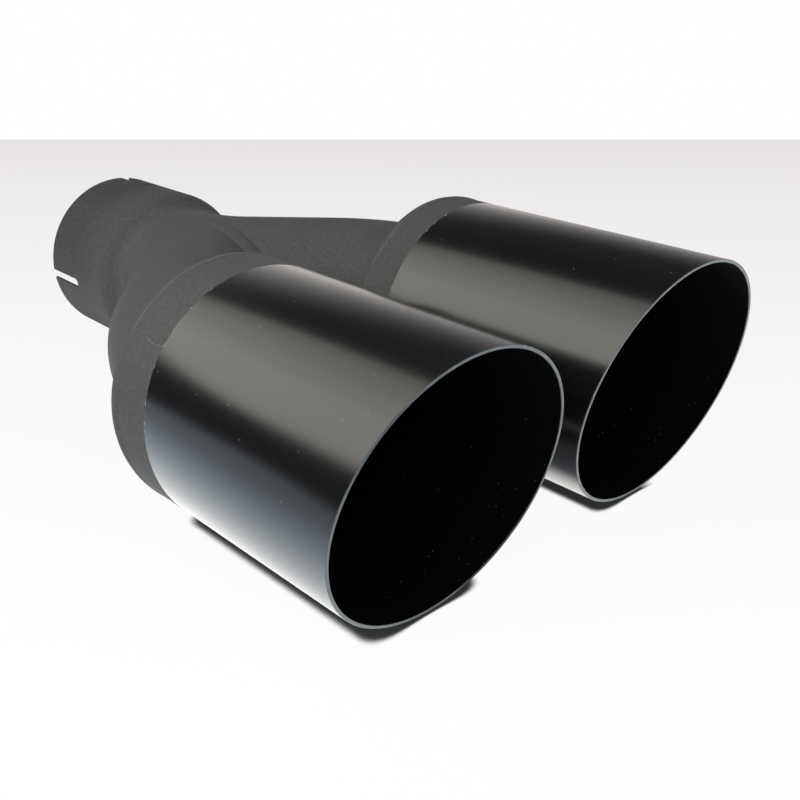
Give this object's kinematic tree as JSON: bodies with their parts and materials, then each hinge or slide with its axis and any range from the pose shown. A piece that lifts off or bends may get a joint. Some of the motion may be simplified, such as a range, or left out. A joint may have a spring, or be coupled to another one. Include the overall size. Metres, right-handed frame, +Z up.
{
  "type": "twin exhaust tip",
  "caption": "Welded twin exhaust tip: slotted clamp-on inlet sleeve, mitred Y of bent pipes and two slash-cut round outlets",
  "frame": {"origin": "centre of the inlet sleeve's open end, on its bore axis", "axes": "+X along the bore axis from the open end towards the two mouths, +Y to the left outlet, +Z up"},
  "size_m": [0.3153, 0.2138, 0.1016],
  "materials": {
    "matte_coating": "matte high-temperature coating",
    "coated_weld": "matte coating over weld beads",
    "satin_black": "satin black coating"
  },
  "bodies": {
    "root": {"inlet_sleeve": "matte_coating", "collar_weld": "coated_weld", "seam_weld": "coated_weld", "fork_weld": "coated_weld", "left_first_bend": "matte_coating", "right_first_bend": "matte_coating", "left_middle_pipe": "matte_coating", "right_middle_pipe": "matte_coating", "left_second_bend": "matte_coating", "right_second_bend": "matte_coating", "left_pipe_end": "matte_coating", "right_pipe_end": "matte_coating", "left_pipe_weld": "coated_weld", "right_pipe_weld": "coated_weld", "left_rear_cap": "matte_coating", "right_rear_cap": "matte_coating", "left_cap_weld": "coated_weld", "right_cap_weld": "coated_weld", "left_outlet": "satin_black", "right_outlet": "satin_black"}
  },
  "joints": []
}
